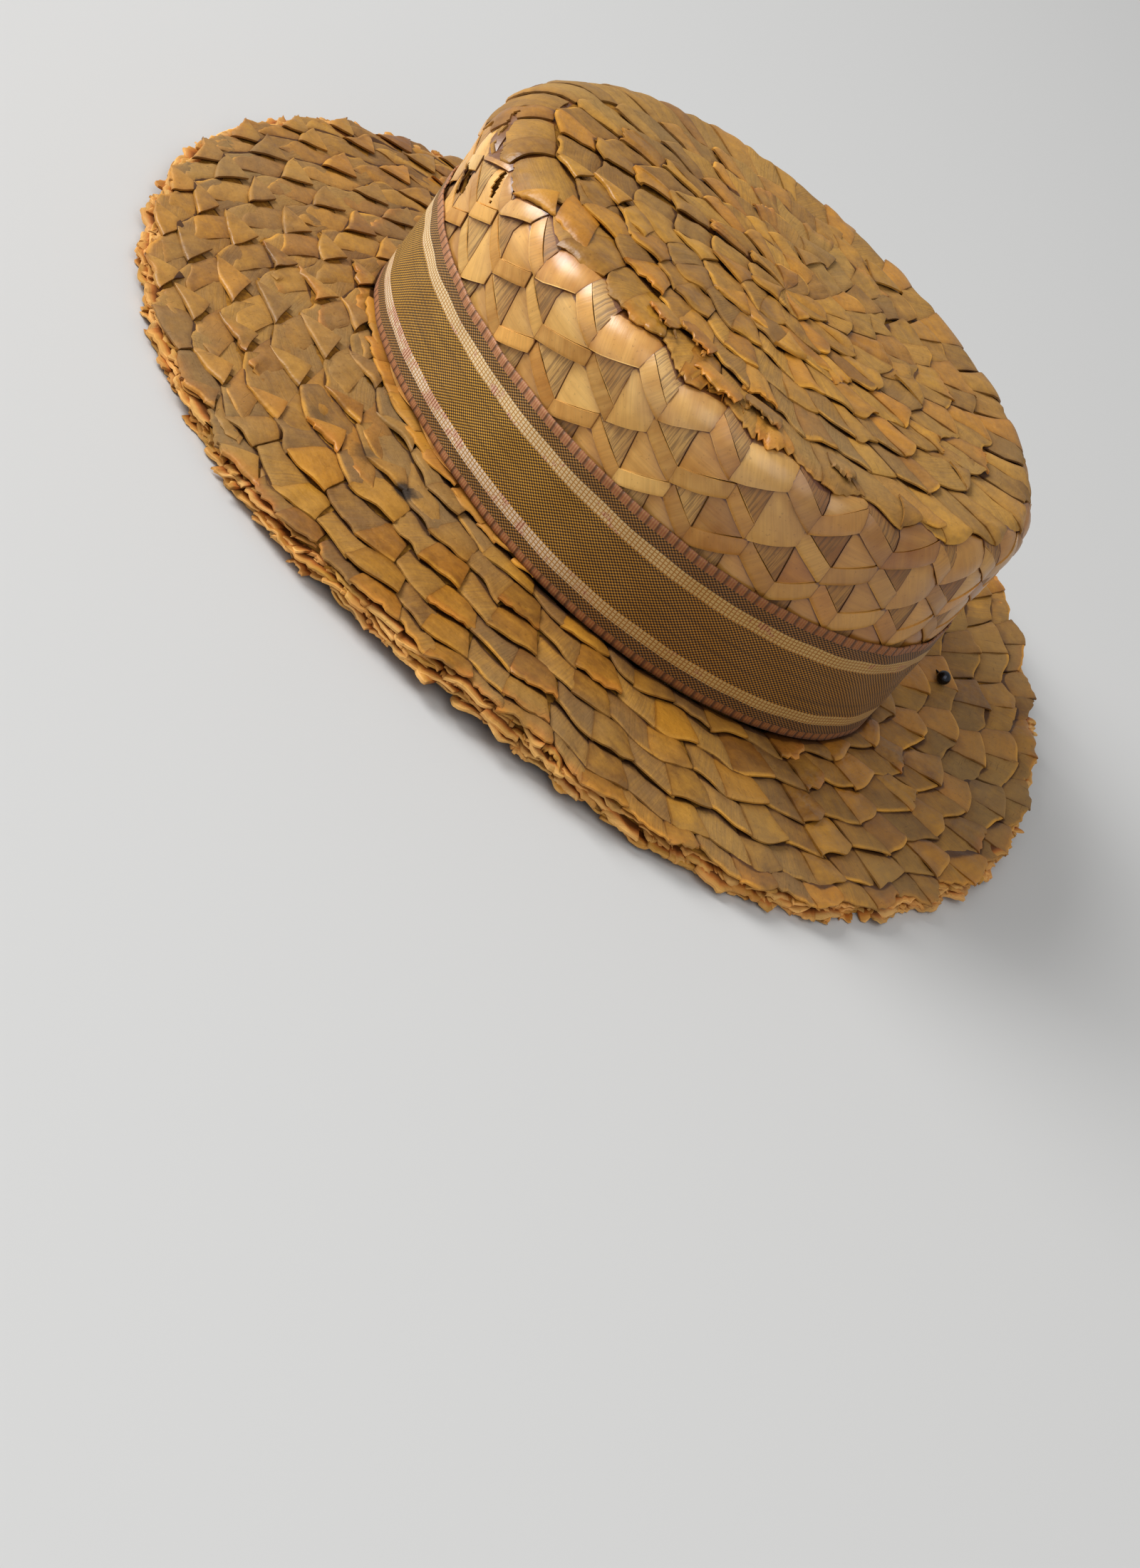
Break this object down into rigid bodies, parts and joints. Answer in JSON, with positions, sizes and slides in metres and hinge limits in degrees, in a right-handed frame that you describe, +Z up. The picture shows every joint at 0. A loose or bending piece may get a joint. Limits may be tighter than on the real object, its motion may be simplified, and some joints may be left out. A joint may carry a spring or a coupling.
{
  "type": "straw skimmer hat",
  "caption": "Oval straw skimmer with a flat-topped crown, a wide ragged brim of overlapping plait rows, a striped ribbon band and a ball-headed pin.",
  "frame": {"origin": "middle of the brim's footprint, on the surface that the brim's edge rests on", "axes": "+Z up along the crown, -Y towards the front of the hat, +X towards the wearer's left"},
  "size_m": [0.3052, 0.319, 0.0901],
  "materials": {
    "crown_straw": "glossy golden flat straw plait with darker slits between the straws",
    "brim_straw": "duller grey-brown straw plait, dusty, with bright folds and torn ends",
    "ribbon": "woven olive-gold ribbon with pale stripes and ribbed picot edges, worn",
    "pin_steel": "dark polished steel"
  },
  "bodies": {
    "root": {"crown": "crown_straw", "brim": "brim_straw", "hat_band": "ribbon", "pin": "pin_steel"}
  },
  "joints": []
}
